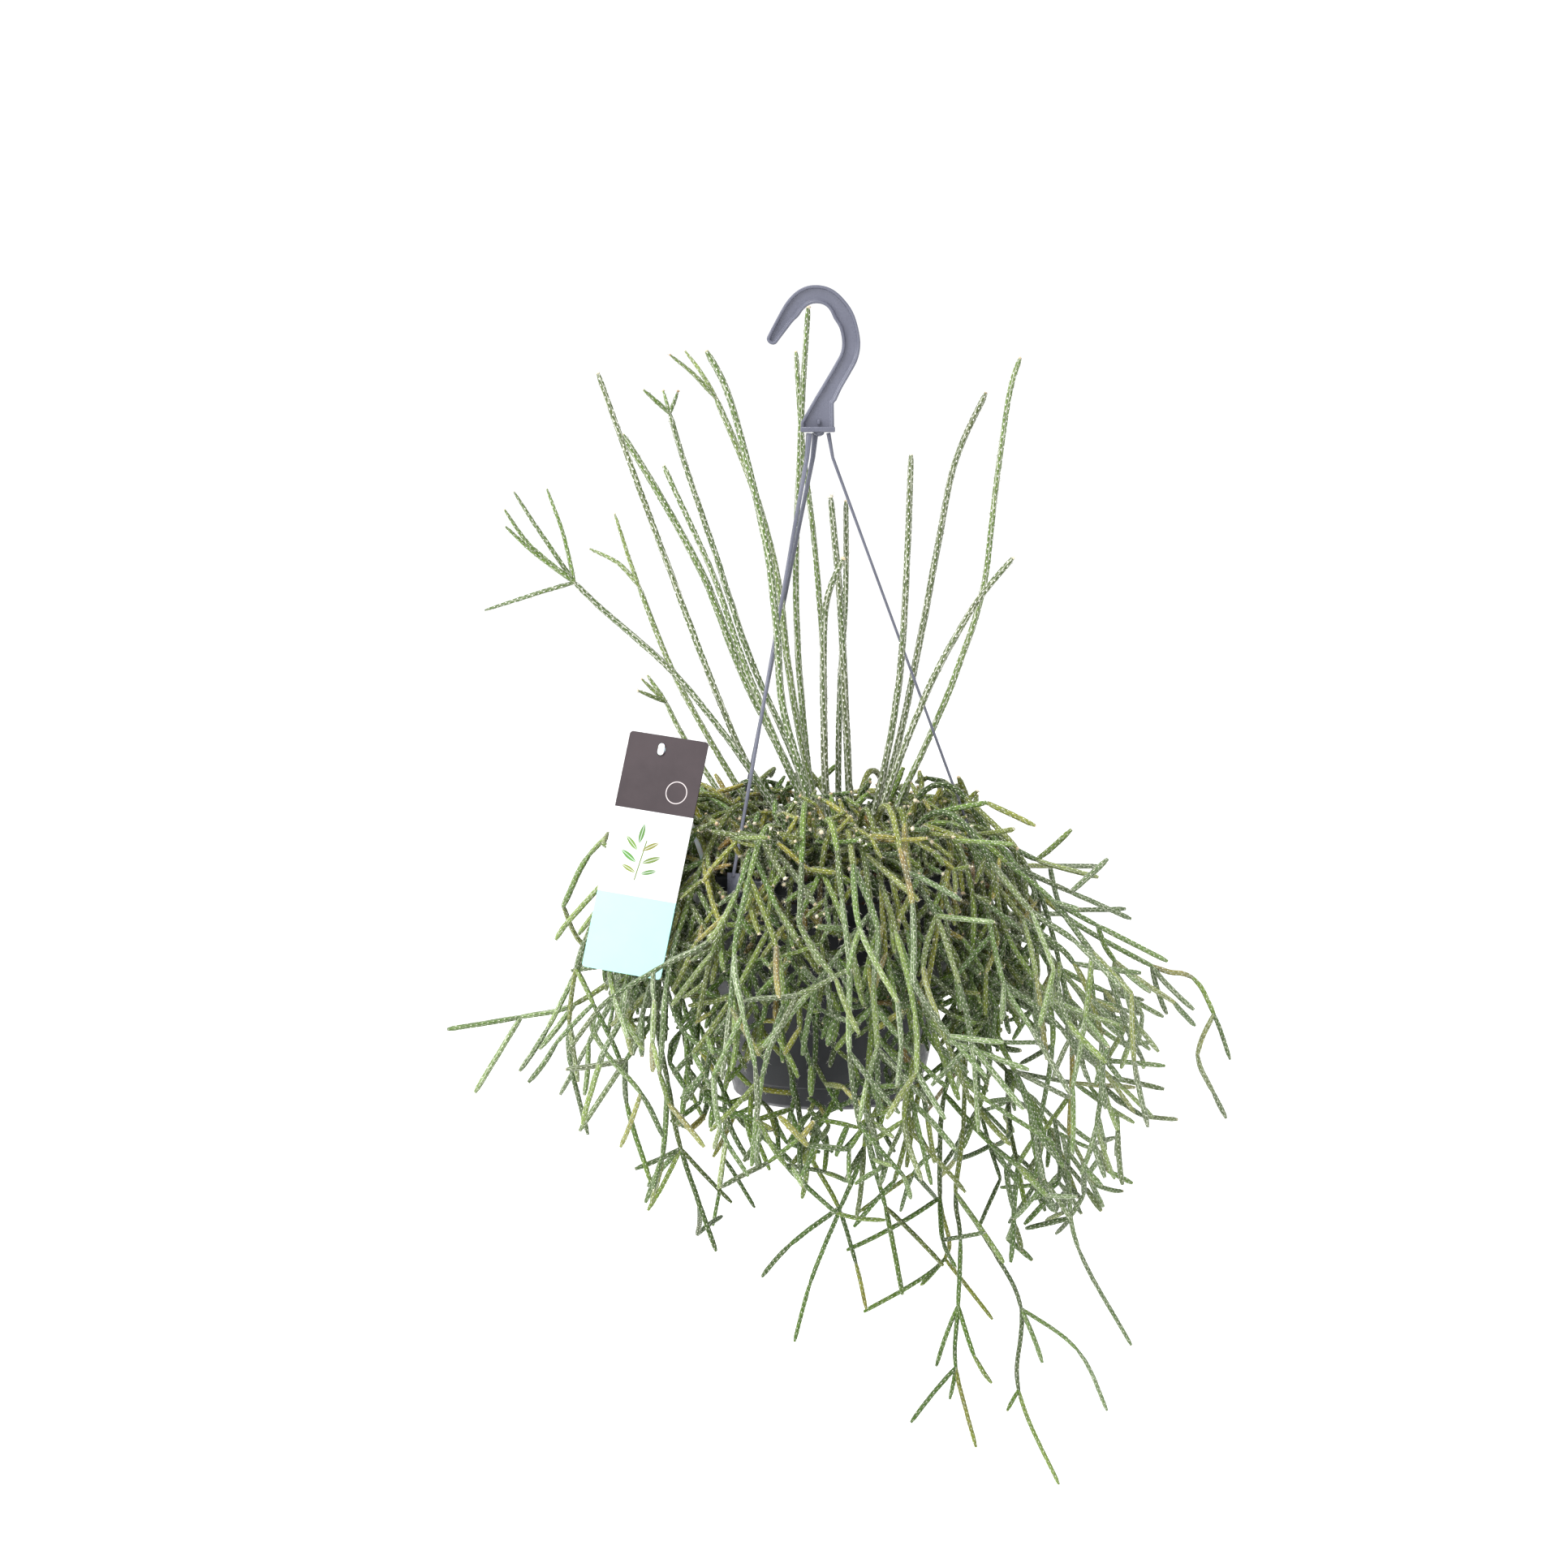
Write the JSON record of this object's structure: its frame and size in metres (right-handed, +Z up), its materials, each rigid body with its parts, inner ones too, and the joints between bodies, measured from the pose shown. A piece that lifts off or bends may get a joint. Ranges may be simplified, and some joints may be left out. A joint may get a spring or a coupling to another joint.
{
  "type": "potted trailing cactus in a hanging pot",
  "caption": "Trailing rhipsalis cactus with thin hairy stems in a dark plastic hanging pot, with a hook, straps and a card label.",
  "frame": {"origin": "the seat inside the top of the hanger's hook, where it hangs on a bar", "axes": "+Z up, +X to the right and +Y away from the viewer of the front, with the label at the front left"},
  "size_m": [0.4599, 0.3452, 0.693],
  "materials": {
    "pot_plastic": "satin moulded plastic, anthracite",
    "potting_mix": "loose dark peat mix",
    "hanger_plastic": "satin grey-blue moulded plastic",
    "card": "printed card with a dark, a white and a turquoise band",
    "strip_plastic": "translucent white plastic",
    "young_stem": "living grey-green skin with white bristles",
    "trailing_stem": "living green skin with white bristles"
  },
  "bodies": {
    "root": {"hanger_hook": "hanger_plastic", "hanger_strap_left_back": "hanger_plastic", "hanger_strap_left_front": "hanger_plastic", "hanger_strap_right": "hanger_plastic", "pot": "pot_plastic", "soil": "potting_mix", "tag": "card", "tag_strip": "strip_plastic", "trailing_01": "trailing_stem", "trailing_02": "trailing_stem", "trailing_03": "trailing_stem", "trailing_04": "trailing_stem", "trailing_05": "trailing_stem", "trailing_06": "trailing_stem", "trailing_07": "trailing_stem", "trailing_08": "trailing_stem", "trailing_09": "trailing_stem", "trailing_10": "trailing_stem", "trailing_11": "trailing_stem", "trailing_12": "trailing_stem", "trailing_13": "trailing_stem", "trailing_14": "trailing_stem", "trailing_15": "trailing_stem", "trailing_16": "trailing_stem", "trailing_17": "trailing_stem", "trailing_18": "trailing_stem", "trailing_19": "trailing_stem", "trailing_20": "trailing_stem", "trailing_21": "trailing_stem", "trailing_22": "trailing_stem", "trailing_23": "trailing_stem", "trailing_24": "trailing_stem", "trailing_25": "trailing_stem", "trailing_26": "trailing_stem", "trailing_27": "trailing_stem", "trailing_28": "trailing_stem", "trailing_29": "trailing_stem", "trailing_30": "trailing_stem", "trailing_31": "trailing_stem", "trailing_32": "trailing_stem", "upright_01": "young_stem", "upright_02": "young_stem", "upright_03": "young_stem", "upright_04": "young_stem", "upright_05": "young_stem", "upright_06": "young_stem", "upright_07": "young_stem", "upright_08": "young_stem", "upright_09": "young_stem", "upright_10": "young_stem", "upright_11": "young_stem", "upright_12": "young_stem", "upright_13": "young_stem", "upright_14": "young_stem", "upright_15": "young_stem", "upright_16": "young_stem", "upright_17": "young_stem", "upright_18": "young_stem"}
  },
  "joints": []
}
